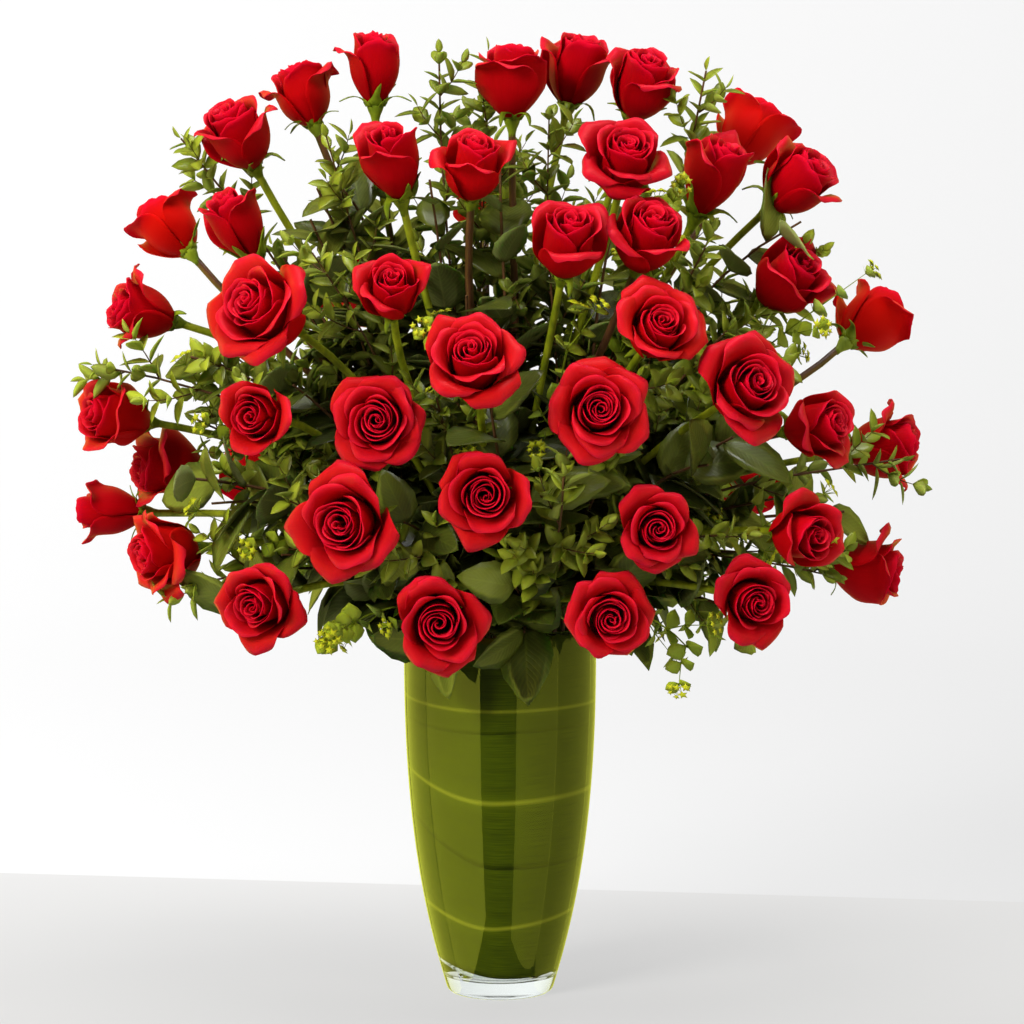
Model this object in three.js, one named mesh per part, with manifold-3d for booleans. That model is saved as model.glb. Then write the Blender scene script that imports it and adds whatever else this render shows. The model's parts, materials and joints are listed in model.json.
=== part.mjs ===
// A tall arrangement of forty-eight long-stemmed red roses with mixed greenery, standing in a clear
// glass vase that is lined with three broad leaves. Millimetres, +Z up. The origin is the centre of
// the vase's flat underside, and the arrangement's front faces -Y. Every flower and sprig is one
// grown piece: its cut end stands on the vase's floor and its stem leaves through the mouth.
import * as THREE from "three";
import { mergeVertices } from "three/addons/utils/BufferGeometryUtils.js";
import Module from "manifold-3d";

const wasm = await Module();
wasm.setup();

// ---------------------------------------------------------------- driving dimensions

const vase = {
  height: 300,
  footRadius: 40, // the flat ring that it stands on
  heelRadius: 43, // where the rounded heel meets the wall
  heelHeight: 3,
  bellyRadius: 79, // control radius of the wall's upper swell
  lowerPull: 68, // control radius of the wall's lower flare
  mouthRadius: 77,
  wall: 3.6,
  floor: 14,
};
const ROUND_SIDES = 32; // facets round the vase and its lining
const WALL_STATIONS = 9; // profile points up one side of the wall

// The edges between the lining's leaves, from the lowest to the highest, and the space at each.
const lining = { thickness: 0.8, gap: 0.6, space: 1, edges: [20, 112, 221, 294] };

const stemFit = { clearance: 0.8, cutAboveFloor: 2 };
const rose = { stemRadius: 2.9, stemSides: 6, stemSteps: 12, cupSides: 10 };
const sprigStem = { radius: 1.6, sides: 5, steps: 20 };

// The crown is the egg of flower heads. A head's place is a share of these half sizes.
const crown = { halfWidth: 320, halfDepth: 200, halfHeight: 330, aboveMouth: 116, setBack: 14 };

// How far open a flower is: the radius of its cup, its length, and the share of its length at which
// it is widest.
const BLOOMS = {
  bud: { radius: 23, length: 54, widest: 0.42 },
  half: { radius: 29, length: 56, widest: 0.5 },
  open: { radius: 34, length: 48, widest: 0.62 },
  full: { radius: 36, length: 44, widest: 0.66 },
};
const bloomMouth = 0.72; // radius of the flower's open top, as a share of its cup
const calyxRadius = 6.5;

// One line per rose: bloom, across (+ is right), forward (+ is front), up, and the way that the
// flower looks: bearing round the vase (0 is front, + is right) and rise above the horizon, degrees.
const ROSES = [
  ["half", -0.5, -0.2, 0.93, -105, 68],
  ["bud", -0.31, 0.0, 0.98, 0, 85],
  ["half", -0.65, 0.0, 0.82, -45, 55],
  ["half", -0.85, -0.42, 0.6, -120, 45],
  ["bud", -0.64, 0.15, 0.6, -60, 60],
  ["half", -0.89, 0.1, 0.4, -70, 15],
  ["bud", -0.25, 0.6, 0.75, -20, 60],
  ["half", -0.06, 0.65, 0.75, 10, 62],
  ["half", 0.03, 0.05, 0.95, 0, 86],
  ["half", 0.19, -0.2, 0.98, 60, 75],
  ["half", 0.35, 0.0, 0.94, 30, 62],
  ["open", 0.3, 0.57, 0.76, 10, 45],
  ["half", 0.64, -0.5, 0.83, 140, 50],
  ["bud", 0.52, 0.15, 0.71, 50, 60],
  ["half", 0.73, 0.1, 0.71, 60, 40],
  ["half", 0.16, 0.8, 0.57, 12, 52],
  ["half", 0.35, 0.68, 0.58, 20, 45],
  ["half", 0.7, 0.2, 0.48, 45, 38],
  ["half", 0.94, -0.3, 0.37, 125, 35],
  ["open", -0.54, 0.73, 0.41, -35, 22],
  ["half", -0.25, 0.85, 0.47, 0, 42],
  ["open", -0.06, 1.06, 0.31, -5, 32],
  ["open", 0.37, 0.85, 0.38, 15, 25],
  ["open", 0.58, 0.78, 0.24, 22, 18],
  ["full", 0.23, 0.95, 0.2, 5, 8],
  ["full", -0.28, 0.86, 0.17, -8, 8],
  ["half", -0.57, 0.8, 0.18, -20, 5],
  ["half", -0.95, 0.12, 0.15, -55, 10],
  ["half", -0.84, -0.12, 0.02, -70, 2],
  ["bud", -0.99, -0.18, -0.1, -90, 0],
  ["open", -0.82, 0.24, -0.17, -60, -5],
  ["open", -0.35, 0.93, -0.06, -15, 5],
  ["open", -0.03, 1.0, 0.01, 0, 5],
  ["open", 0.37, 0.92, -0.07, 5, 5],
  ["half", 0.76, 0.6, 0.15, 50, 12],
  ["half", 0.96, -0.05, 0.07, 75, 10],
  ["half", 0.72, 0.69, -0.1, 35, 0],
  ["half", 0.92, -0.05, -0.23, 80, -5],
  ["open", 0.6, 0.76, -0.25, 15, 0],
  ["full", 0.26, 0.92, -0.27, 5, -2],
  ["open", -0.14, 0.95, -0.28, 0, 0],
  ["open", -0.56, 0.79, -0.25, -25, -5],
  ["open", -0.36, -0.92, 0.42, -160, 25],
  ["open", 0.32, -0.98, 0.3, 165, 20],
  ["half", -0.04, -0.72, 0.66, 180, 50],
  ["half", -0.64, -0.82, 0.0, -140, 5],
  ["full", 0.0, -1.08, -0.06, 180, 5],
  ["open", 0.64, -0.8, -0.06, 140, 5],
];

// One line per sprig: kind, where its tip is (as for a rose), the way that the tip points, the number
// of leaves and the share of the stem outside the vase that they cover.
const LEAVES = {
  myrtle: { length: 26, width: 13, thickness: 1.2 },
  broad: { length: 58, width: 36, thickness: 1.4 },
};
const SPRIGS = [
  ["myrtle", 0.51, 0.06, 0.98, 25, 74, 9, 0.3],
  ["myrtle", -1.0, 0.25, 0.28, -85, 10, 10, 0.35],
  ["myrtle", 0.98, 0.35, 0.06, 80, 10, 10, 0.35],
  ["myrtle", -0.15, 0.1, 1.02, 0, 88, 9, 0.3],
  ["broad", -0.46, -0.4, 0.66, -60, 50, 3, 0.25],
  ["broad", -0.78, 0.42, 0.02, -80, 5, 3, 0.25],
  ["broad", 0.86, 0.1, -0.08, 80, 5, 3, 0.25],
  ["broad", 0.4, -0.6, 0.6, 150, 45, 3, 0.25],
];

// ---------------------------------------------------------------- solids

// A closed three.js geometry as a manifold-3d solid, and back again.
function toSolid(geometry) {
  const bare = geometry.clone();
  bare.deleteAttribute("normal");
  bare.deleteAttribute("uv");
  const merged = mergeVertices(bare.index ? bare.toNonIndexed() : bare, 1e-3);
  return new wasm.Manifold(
    new wasm.Mesh({
      numProp: 3,
      vertProperties: merged.attributes.position.array,
      triVerts: new Uint32Array(merged.index.array),
    }),
  );
}

function toGeometry(solid) {
  const mesh = solid.getMesh();
  const geometry = new THREE.BufferGeometry();
  geometry.setAttribute("position", new THREE.BufferAttribute(mesh.vertProperties, 3));
  geometry.setIndex(new THREE.BufferAttribute(mesh.triVerts, 1));
  geometry.computeVertexNormals();
  return geometry;
}

function join(geometries) {
  return toGeometry(geometries.map(toSolid).reduce((whole, piece) => whole.add(piece)));
}

// A tube of straight-sided section along a path.
function tube(path, radius, sides, steps) {
  const section = new THREE.Shape();
  for (let i = 0; i < sides; i++) {
    const angle = (2 * Math.PI * i) / sides;
    const corner = [radius * Math.cos(angle), radius * Math.sin(angle)];
    if (i) section.lineTo(...corner);
    else section.moveTo(...corner);
  }
  return new THREE.ExtrudeGeometry(section, { steps, extrudePath: path, curveSegments: 1 });
}

// A profile of [radius, height] points turned about the Z axis.
function turned(profile, sides) {
  const points = profile.map(([radius, height]) => new THREE.Vector2(radius, height));
  return new THREE.LatheGeometry(points, sides).rotateX(Math.PI / 2);
}

// ---------------------------------------------------------------- vase and lining

const wallCurve = new THREE.CubicBezierCurve(
  new THREE.Vector2(vase.heelRadius, vase.heelHeight),
  new THREE.Vector2(vase.lowerPull, 0.28 * vase.height),
  new THREE.Vector2(vase.bellyRadius, 0.57 * vase.height),
  new THREE.Vector2(vase.mouthRadius, vase.height),
);
const wallPoints = wallCurve.getPoints(200);

// The outside radius of the wall at a height.
function wallRadius(height) {
  const above = wallPoints.findIndex((point) => point.y >= height);
  if (above <= 0) return wallPoints[above ? wallPoints.length - 1 : 0].x;
  const [low, high] = [wallPoints[above - 1], wallPoints[above]];
  return low.x + ((high.x - low.x) * (height - low.y)) / (high.y - low.y);
}

// Points [radius, height] up the wall between two heights, set in from its outside.
function wallLine(from, to, inset, stations) {
  const line = [];
  for (let i = 0; i < stations; i++) {
    const height = from + ((to - from) * i) / (stations - 1);
    line.push([wallRadius(height) - inset, height]);
  }
  return line;
}

function vaseBody() {
  const outside = wallLine(vase.heelHeight, vase.height, 0, WALL_STATIONS);
  const inside = wallLine(vase.floor, vase.height, vase.wall, WALL_STATIONS).reverse();
  return turned([[0, 0], [vase.footRadius, 0], ...outside, ...inside, [0, vase.floor]], ROUND_SIDES);
}

// One leaf of the lining: a thin band that lies against the inside of the wall.
function liningBand(from, to) {
  const inset = vase.wall + lining.gap;
  const outer = wallLine(from, to - lining.space, inset, 4);
  const inner = wallLine(from, to - lining.space, inset + lining.thickness, 4).reverse();
  return turned([...outer, ...inner, outer[0]], ROUND_SIDES);
}

// ---------------------------------------------------------------- stems in the vase

const mouthCentre = new THREE.Vector3(0, 0, vase.height);

// A place in the crown from its three shares.
function crownPlace(across, forward, up) {
  return new THREE.Vector3(
    crown.halfWidth * across,
    crown.setBack - crown.halfDepth * forward,
    vase.height + crown.aboveMouth + crown.halfHeight * up,
  );
}

// A unit vector from a bearing and a rise in degrees.
function heading(bearing, rise) {
  const [b, r] = [bearing, rise].map(THREE.MathUtils.degToRad);
  return new THREE.Vector3(Math.sin(b) * Math.cos(r), -Math.cos(b) * Math.cos(r), Math.sin(r));
}

// The stems stand in rings about a free middle. The rings are as far apart as the floor and the
// mouth allow, and hold these many stems from the inside out.
const RINGS = [8, 13, 17, 18];
const floorRing = { inner: 10.4, outer: wallRadius(vase.floor) - vase.wall - 12.5 };
const mouthRing = { inner: 17, outer: vase.mouthRadius - vase.wall - 11.5 };

function ringRadius(ring, index) {
  return ring.inner + ((ring.outer - ring.inner) * index) / (RINGS.length - 1);
}

// Moves sorted angles apart until each is at least a gap from the next, keeping their order.
function movedApart(angles, gap) {
  const turn = 2 * Math.PI;
  const moved = [...angles];
  for (let round = 0; round < 400; round++)
    for (let i = 0; i < moved.length; i++) {
      const next = (i + 1) % moved.length;
      const space = moved[next] + (next ? 0 : turn) - moved[i];
      if (space >= gap) continue;
      moved[i] -= (gap - space) / 2;
      moved[next] += (gap - space) / 2;
    }
  return moved;
}

// Gives every stem a cut end on the floor and a place in the mouth. Upright stems take the inner
// rings and spreading ones the outer rings, each on the side that it leans to, so that none cross.
function placeStems(stems) {
  for (const stem of stems) {
    const lean = stem.end.clone().sub(mouthCentre);
    stem.tilt = lean.angleTo(new THREE.Vector3(0, 0, 1));
    stem.angle = Math.atan2(lean.y, lean.x);
  }
  const waiting = [...stems].sort((a, b) => a.tilt - b.tilt);
  RINGS.forEach((count, index) => {
    const ring = waiting.splice(0, count).sort((a, b) => a.angle - b.angle);
    const radius = ringRadius(floorRing, index);
    const spacing = (2 * rose.stemRadius + stemFit.clearance) / radius;
    const angles = movedApart(ring.map((stem) => stem.angle), spacing);
    const cutHeight = vase.floor + stemFit.cutAboveFloor;
    ring.forEach((stem, i) => {
      const [x, y] = [Math.cos(angles[i]), Math.sin(angles[i])];
      const atMouth = ringRadius(mouthRing, index);
      stem.cut = new THREE.Vector3(radius * x, radius * y, cutHeight);
      stem.mouth = new THREE.Vector3(atMouth * x, atMouth * y, vase.height);
    });
  });
}

// Straight through the vase, then one smooth bend to where the stem ends, looking its own way.
function stemPath(stem) {
  const climb = stem.mouth.clone().sub(stem.cut).normalize();
  const reach = 0.38 * stem.mouth.distanceTo(stem.end);
  const path = new THREE.CurvePath();
  path.add(new THREE.LineCurve3(stem.cut, stem.mouth));
  path.add(
    new THREE.CubicBezierCurve3(
      stem.mouth,
      stem.mouth.clone().addScaledVector(climb, reach),
      stem.end.clone().addScaledVector(stem.look, -reach),
      stem.end,
    ),
  );
  return path;
}

// ---------------------------------------------------------------- roses

// The flower head as one closed cup on its calyx, standing on its base along +Z.
function bloomCup({ radius, length, widest }) {
  const profile = [
    [0, -2],
    [calyxRadius, 0],
    [0.8 * radius, 0.22 * length],
    [radius, widest * length],
    [bloomMouth * radius, length],
    [0, 0.9 * length],
  ];
  return turned(profile, rose.cupSides);
}

function roseSolid(stem) {
  const facing = new THREE.Quaternion().setFromUnitVectors(new THREE.Vector3(0, 0, 1), stem.look);
  const cup = bloomCup(BLOOMS[stem.bloom]).applyQuaternion(facing);
  cup.translate(stem.end.x, stem.end.y, stem.end.z);
  return join([tube(stemPath(stem), rose.stemRadius, rose.stemSides, rose.stemSteps), cup]);
}

// ---------------------------------------------------------------- sprigs

// A flat pointed leaf that grows along +Y, with its face up and its foot sunk in the stem.
function leafPlate({ length, width, thickness }) {
  const outline = new THREE.Shape();
  outline.moveTo(-0.06 * width, 0);
  outline.quadraticCurveTo(-0.75 * width, 0.45 * length, 0, length);
  outline.quadraticCurveTo(0.75 * width, 0.45 * length, 0.06 * width, 0);
  const plate = new THREE.ExtrudeGeometry(outline, {
    depth: thickness,
    bevelEnabled: false,
    curveSegments: 4,
  });
  return plate.translate(0, -0.8 * sprigStem.radius, -thickness / 2);
}

// The place at a share of the way along a line of evenly spaced points.
function placeAlong(points, share) {
  const step = share * (points.length - 1);
  const start = Math.min(Math.floor(step), points.length - 2);
  return points[start].clone().lerp(points[start + 1], step - start);
}

// Leaves alternate from side to side over the outer share of the stem, and one ends it.
function sprigSolid(stem) {
  const path = stemPath(stem);
  const inside = stem.cut.distanceTo(stem.mouth) / path.getLength();
  const spine = path.getSpacedPoints(sprigStem.steps);
  const pieces = [tube(path, sprigStem.radius, sprigStem.sides, sprigStem.steps)];
  for (let i = 0; i < stem.leaves; i++) {
    const back = (stem.share * i) / stem.leaves;
    const at = 1 - back * (1 - inside);
    const grow = path.getTangentAt(at);
    const out = new THREE.Vector3(0, 0, 1).cross(grow).normalize();
    const spread = i ? (i % 2 ? 1 : -1) : 0;
    const along = grow.clone().addScaledVector(out, 1.1 * spread).normalize();
    const face = new THREE.Vector3().crossVectors(grow, out).normalize();
    const side = new THREE.Vector3().crossVectors(along, face);
    const turn = new THREE.Matrix4().makeBasis(side, along, face);
    turn.setPosition(placeAlong(spine, at));
    pieces.push(leafPlate(LEAVES[stem.kind]).applyMatrix4(turn));
  }
  return join(pieces);
}

// ---------------------------------------------------------------- the arrangement

const roseStems = ROSES.map(([bloom, across, forward, up, bearing, rise]) => {
  const look = heading(bearing, rise);
  const middle = crownPlace(across, forward, up);
  const end = middle.addScaledVector(look, -BLOOMS[bloom].length / 2);
  return { bloom, look, end };
});
const sprigStems = SPRIGS.map(([kind, across, forward, up, bearing, rise, leaves, share]) => ({
  kind,
  leaves,
  share,
  look: heading(bearing, rise),
  end: crownPlace(across, forward, up),
}));
placeStems([...roseStems, ...sprigStems]);

const glass = new THREE.MeshStandardMaterial({ color: 0xe8f0ee, roughness: 0.05, metalness: 0 });
const wrapLeaf = new THREE.MeshStandardMaterial({ color: 0x5f7a12, roughness: 0.45, metalness: 0 });
const petal = new THREE.MeshStandardMaterial({ color: 0xb8091c, roughness: 0.6, metalness: 0 });
const greens = {
  myrtle: new THREE.MeshStandardMaterial({ color: 0x55702a, roughness: 0.5, metalness: 0 }),
  broad: new THREE.MeshStandardMaterial({ color: 0x2c3d1c, roughness: 0.45, metalness: 0 }),
};

const arrangement = new THREE.Group();

function addPiece(name, geometry, material) {
  const mesh = new THREE.Mesh(geometry, material);
  mesh.name = name;
  arrangement.add(mesh);
}

addPiece("glass_vase", vaseBody(), glass);
for (let i = 1; i < lining.edges.length; i++) {
  const band = liningBand(lining.edges[i - 1], lining.edges[i]);
  addPiece(`lining_leaf_${i}`, band, wrapLeaf);
}
roseStems.forEach((stem, i) =>
  addPiece(`rose_${String(i + 1).padStart(2, "0")}`, roseSolid(stem), petal),
);
const kinds = { myrtle: 0, broad: 0 };
for (const stem of sprigStems)
  addPiece(`${stem.kind}_sprig_${++kinds[stem.kind]}`, sprigSolid(stem), greens[stem.kind]);

export default arrangement;
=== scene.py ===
"""Long-stemmed red roses with mixed greenery in a clear glass vase lined with leaves, in metres."""

import json
import math
import random

import bpy
import numpy as np
from mathutils import Matrix, Vector
from mathutils.geometry import interpolate_bezier

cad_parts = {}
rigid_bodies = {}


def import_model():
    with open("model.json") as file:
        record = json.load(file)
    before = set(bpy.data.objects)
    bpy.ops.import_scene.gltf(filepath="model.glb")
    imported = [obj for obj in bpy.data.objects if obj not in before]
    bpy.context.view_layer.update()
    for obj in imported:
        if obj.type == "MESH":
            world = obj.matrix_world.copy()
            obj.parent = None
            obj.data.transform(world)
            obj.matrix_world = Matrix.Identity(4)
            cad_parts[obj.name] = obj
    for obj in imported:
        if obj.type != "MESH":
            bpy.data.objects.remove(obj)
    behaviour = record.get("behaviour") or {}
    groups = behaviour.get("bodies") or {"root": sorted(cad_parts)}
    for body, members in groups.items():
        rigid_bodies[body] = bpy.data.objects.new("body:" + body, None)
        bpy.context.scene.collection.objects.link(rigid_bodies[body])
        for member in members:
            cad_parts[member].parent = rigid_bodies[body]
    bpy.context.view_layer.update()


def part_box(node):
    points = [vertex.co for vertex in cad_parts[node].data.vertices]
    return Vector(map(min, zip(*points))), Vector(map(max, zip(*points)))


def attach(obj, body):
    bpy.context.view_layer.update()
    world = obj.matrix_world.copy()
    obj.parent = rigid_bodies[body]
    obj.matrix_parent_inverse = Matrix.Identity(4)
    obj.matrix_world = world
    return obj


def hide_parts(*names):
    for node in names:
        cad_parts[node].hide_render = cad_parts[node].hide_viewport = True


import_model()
bpy.ops.object.select_all(action="DESELECT")


# ------------------------------------------------------------------ the studio
# A pale table stands before a white sweep. Soft boxes light the flowers from both sides and from
# above, and a long lens looks at them from a little above their middle.


def turned_to(place, aim):
    return (Vector(aim) - Vector(place)).to_track_quat("-Z", "Y").to_euler()


eye = (0.0096, -2.72, 0.653)
bpy.ops.object.camera_add(location=eye, rotation=turned_to(eye, (0.0096, 0.0, 0.3888)))
camera = bpy.context.object
camera.name = "camera"
camera.data.lens = 120
camera.data.clip_end = 30
bpy.context.scene.camera = camera
bpy.context.scene.view_settings.view_transform = "Standard"


def soft_box(name, place, aim, width, height, power):
    bpy.ops.object.light_add(type="AREA", location=place, rotation=turned_to(place, aim))
    lamp = bpy.context.object
    lamp.name = name
    lamp.data.shape = "RECTANGLE"
    lamp.data.size = width
    lamp.data.size_y = height
    lamp.data.energy = power
    return lamp


flowers_middle = (0.0, 0.0, 0.42)
panel_height = 4.0
panel_distance = 2.2
panel_tint = (0.96, 1.0, 0.09)
for name, place, width, height, power in (
    ("key_box", (-1.9, -2.1, 1.9), 1.1, 1.1, 100),
    ("fill_box", (2.2, -2.0, 1.2), 1.1, 1.4, 24),
    ("top_box", (0.1, -0.4, 2.4), 1.4, 1.0, 38),
):
    box = soft_box(name, place, flowers_middle, width, height, power)
    box.visible_camera = False
    box.visible_glossy = name == "top_box"
for name, bearing, width, strength in (
    ("left_panel", -61, 3.4, 2.0),
    ("far_left_panel", -126, 2.2, 1.5),
    ("right_panel", 46, 2.2, 1.1),
    ("far_right_panel", 105, 2.9, 0.8),
    ("back_right_panel", 158, 1.7, 0.9),
    ("back_left_panel", -168, 1.0, 1.2),
):
    turn = math.radians(bearing)
    place = (panel_distance * math.sin(turn), -panel_distance * math.cos(turn), 0.2)
    power = strength * math.pi * width * panel_height
    panel = soft_box(name, place, (0, 0, 0.2), width, panel_height, power)
    panel.data.color = panel_tint
    panel.visible_diffuse = False
    panel.visible_camera = False
    panel.visible_transmission = False


def feed(tree, node, inputs):
    """Links each input of a node to a socket, or sets it to a number, a vector or a colour."""
    for key, value in inputs.items():
        socket = node.inputs[key]
        if isinstance(value, bpy.types.NodeSocket):
            tree.links.new(value, socket)
        elif socket.type == "RGBA":
            socket.default_value = (*value, 1)
        else:
            socket.default_value = value
    return node


def put(tree, kind, inputs=None, **settings):
    """Adds a shader node, sets its properties by name and feeds its inputs."""
    node = tree.nodes.new("ShaderNode" + kind)
    for name, value in settings.items():
        setattr(node, name, value)
    return feed(tree, node, inputs or {})


def sums(tree, operation, *values):
    """A math node on sockets or plain numbers, and its result."""
    return put(tree, "Math", dict(enumerate(values)), operation=operation).outputs[0]


def either(tree, share, first, second):
    """Shows the second shader where the share is 1, and the first elsewhere."""
    return put(tree, "MixShader", {0: share, 1: first, 2: second}).outputs[0]


def new_material(name):
    material = bpy.data.materials.new(name)
    material.use_nodes = True
    tree = material.node_tree
    return material, tree, tree.nodes["Principled BSDF"]


def white_light(tree, strength):
    return put(tree, "Background", {"Color": (1, 1, 1), "Strength": strength}).outputs[0]


world = bpy.data.worlds.new("white_room")
bpy.context.scene.world = world
world.use_nodes = True
room = world.node_tree
ray = put(room, "LightPath")
seen = either(room, ray.outputs["Is Glossy Ray"], white_light(room, 0.95), white_light(room, 0.025))
seen = either(room, ray.outputs["Is Diffuse Ray"], seen, white_light(room, 0.17))
room.links.new(seen, room.nodes["World Output"].inputs["Surface"])


def stage_painted_light(name, colour, roughness, glow, to_right, to_back, both):
    """Matt paint with painted light: it glows, less to the right and more to the back, in place of the
    studio light's fall-off, and is clear from behind.
    """
    material, tree, shader = new_material(name)
    place = put(tree, "SeparateXYZ", {0: put(tree, "TexCoord").outputs["Object"]}).outputs
    x = sums(tree, "MINIMUM", sums(tree, "MAXIMUM", place["X"], -0.95), 0.95)
    y = sums(tree, "MINIMUM", sums(tree, "MAXIMUM", place["Y"], -0.3), 3.1)
    slope = sums(tree, "MULTIPLY_ADD", y, both, to_right)
    # painted light: the glow rises to the back and falls off to the right, standing in for how the studio
    # light falls on table and sweep
    level = sums(tree, "MULTIPLY_ADD", y, to_back, glow)
    feed(tree, shader, {
        "Base Color": colour,
        "Roughness": roughness,
        "Specular IOR Level": 0.0,
        "Emission Color": sums(tree, "MULTIPLY_ADD", x, slope, level),
        "Emission Strength": 1,
    })
    behind = put(tree, "NewGeometry").outputs["Backfacing"]
    seen = either(tree, behind, shader.outputs[0], put(tree, "BsdfTransparent").outputs[0])
    tree.links.new(seen, tree.nodes["Material Output"].inputs["Surface"])
    return material


bpy.ops.mesh.primitive_plane_add(size=2, location=(0, 0, 0))
table = bpy.context.object
table.name = "table_top"
for corner, place in zip(table.data.vertices, ((-4, -5), (4, -5), (-4, 0.955), (4, -0.155))):
    corner.co = (*place, 0)
table_white = (0.17, 0.167, 0.16)
# painted light: the table's glow lightens the shadows cast on it and gives most of its brightness
table.data.materials.append(
    stage_painted_light("table_white", table_white, 0.6, glow=0.548, to_right=-0.036, to_back=0.23, both=0.0)
)
table.visible_glossy = False

bpy.ops.mesh.primitive_plane_add(size=2, location=(0, 0, 0))
sweep = bpy.context.object
sweep.name = "white_sweep"
for corner, place in zip(sweep.data.vertices, ((-6, -0.2), (6, -0.2), (-6, 2.0), (6, 2.0))):
    corner.co = (*place, -0.01)
bpy.ops.object.mode_set(mode="EDIT")
bpy.ops.mesh.select_mode(type="EDGE")
bpy.ops.mesh.select_all(action="DESELECT")
bpy.ops.object.mode_set(mode="OBJECT")
for edge in sweep.data.edges:
    edge.select = all(sweep.data.vertices[corner].co.y > 1 for corner in edge.vertices)
bpy.ops.object.mode_set(mode="EDIT")
for step in range(10):
    turn = math.radians(9 * step + 4.5)
    lift = (0, 0.16 * math.cos(turn), 0.16 * math.sin(turn))
    bpy.ops.mesh.extrude_region_move(TRANSFORM_OT_translate={"value": lift})
bpy.ops.mesh.extrude_region_move(TRANSFORM_OT_translate={"value": (0, 0, 5)})
bpy.ops.mesh.select_mode(type="VERT")
bpy.ops.object.mode_set(mode="OBJECT")
bpy.ops.object.shade_smooth()
sweep_white = (0.25, 0.25, 0.25)
# painted light: the sweep's glow gives most of its brightness and dims it to the right
sweep.data.materials.append(
    stage_painted_light("sweep_white", sweep_white, 0.9, glow=0.621, to_right=-0.172, to_back=0.043, both=0.04)
)
sweep.visible_glossy = False


# ------------------------------------------------------------------ the glass vase
# A blown vase of clear glass: a thick foot, a wall that swells to just under the mouth and a
# fire-polished rim. It is drawn up ring by ring from its foot, over the rim and down inside.

vase_low, vase_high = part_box("glass_vase")
vase_height = vase_high[2]
mouth_radius = 0.077
glass_wall = 0.0036
glass_floor = 0.014


def wall_place(t):
    """The radius and height at a share of the wall's drawn curve."""
    s = 1 - t
    radius = 0.043 * s**3 + 0.204 * t * s * s + 0.237 * t * t * s + mouth_radius * t**3
    height = 0.003 * s**3 + 0.252 * t * s * s + 0.513 * t * t * s + vase_height * t**3
    return radius, height


def wall_radius(height):
    low, high = 0.0, 1.0
    for _ in range(30):
        t = (low + high) / 2
        if wall_place(t)[1] < height:
            low = t
        else:
            high = t
    return wall_place(low)[0]


def draw_rings(name, rings, sides):
    """A closed turned shape: a disc that is extruded and resized to each [radius, height] in turn."""
    radius, height = rings[0]
    bpy.ops.mesh.primitive_circle_add(
        vertices=sides, radius=radius, fill_type="NGON", location=(0, 0, height)
    )
    shape = bpy.context.object
    shape.name = name
    bpy.ops.object.transform_apply(location=True)
    bpy.ops.object.mode_set(mode="EDIT")
    for wider, higher in rings[1:]:
        lift = {"value": (0, 0, higher - height)}
        bpy.ops.mesh.extrude_region_move(TRANSFORM_OT_translate=lift)
        share = wider / radius
        bpy.ops.transform.resize(value=(share, share, 1), center_override=(0, 0, 0))
        radius, height = wider, higher
    bpy.ops.mesh.select_all(action="SELECT")
    bpy.ops.mesh.normals_make_consistent(inside=False)
    bpy.ops.object.mode_set(mode="OBJECT")
    return shape


rings = [(0.010, 0.0052), (0.022, 0.0042), (0.031, 0.0018), (0.0355, 0.0002)]
rings += [(0.0375, 0.0), (0.0402, 0.0004), (0.0421, 0.0017)]
for step in range(44):
    height = 0.0035 + (vase_height - 0.0052) * step / 43
    rings.append((wall_radius(height), height))
rings += [(0.0764, vase_height - 0.0004), (0.0753, vase_height), (0.0742, vase_height - 0.0004)]
for step in range(30):
    height = vase_height - 0.0018 - (vase_height - glass_floor - 0.0058) * step / 29
    rings.append((wall_radius(height) - glass_wall, height))
rings += [(0.0408, 0.0162), (0.0375, 0.0147), (0.031, glass_floor)]
vase = draw_rings("vase_of_glass", rings, 128)
bpy.ops.object.shade_smooth()


def noise(tree, vector, scale, detail=3.0, rough=0.5):
    """Soft noise over a vector, from 0 to 1."""
    inputs = {"Vector": vector, "Scale": scale, "Detail": detail, "Roughness": rough}
    return put(tree, "TexNoise", inputs).outputs["Fac"]


def bumped(tree, height, strength, distance):
    inputs = {"Height": height, "Strength": strength, "Distance": distance}
    return put(tree, "Bump", inputs).outputs["Normal"]


glass, tree, shader = new_material("clear_glass")
ripple = noise(tree, put(tree, "TexCoord").outputs["Object"], 9, 2.0)
feed(tree, shader, {
    "Base Color": (0.93, 0.985, 0.96),
    "Roughness": 0.0,
    "IOR": 1.5,
    "Transmission Weight": 1.0,
    "Normal": bumped(tree, ripple, 0.04, 0.004),
})
clear = put(tree, "BsdfTransparent", {"Color": (0.78, 0.82, 0.80)}).outputs[0]
in_shadow = put(tree, "LightPath").outputs["Is Shadow Ray"]
seen = either(tree, in_shadow, shader.outputs[0], clear)
tree.links.new(seen, tree.nodes["Material Output"].inputs["Surface"])
vase.data.materials.append(glass)
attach(vase, "root")
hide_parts("glass_vase")


# ------------------------------------------------------------------ the lining leaves
# Three broad strap leaves, each curled once round the inside of the vase with its ends lapped at
# the back. Their midribs and fine fibres run level round the glass, and each laps the one below.


def stretched(tree, vector, stretch):
    return put(tree, "Mapping", {"Vector": vector, "Scale": stretch}).outputs["Vector"]


def ramp(tree, value, *stops):
    """A colour ramp with a stop for each (place, colour)."""
    node = put(tree, "ValToRGB", {"Fac": value})
    band = node.color_ramp
    while len(band.elements) < len(stops):
        band.elements.new(0.5)
    for element, (place, colour) in zip(band.elements, stops):
        element.position = place
        element.color = (*colour, 1)
    return node.outputs["Color"]


def blended(tree, share, first, second):
    """Mixes two colours, each a socket or three numbers, by a share that is a socket or a number."""
    return put(tree, "Mix", {0: share, 6: first, 7: second}, data_type="RGBA").outputs[2]


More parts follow.
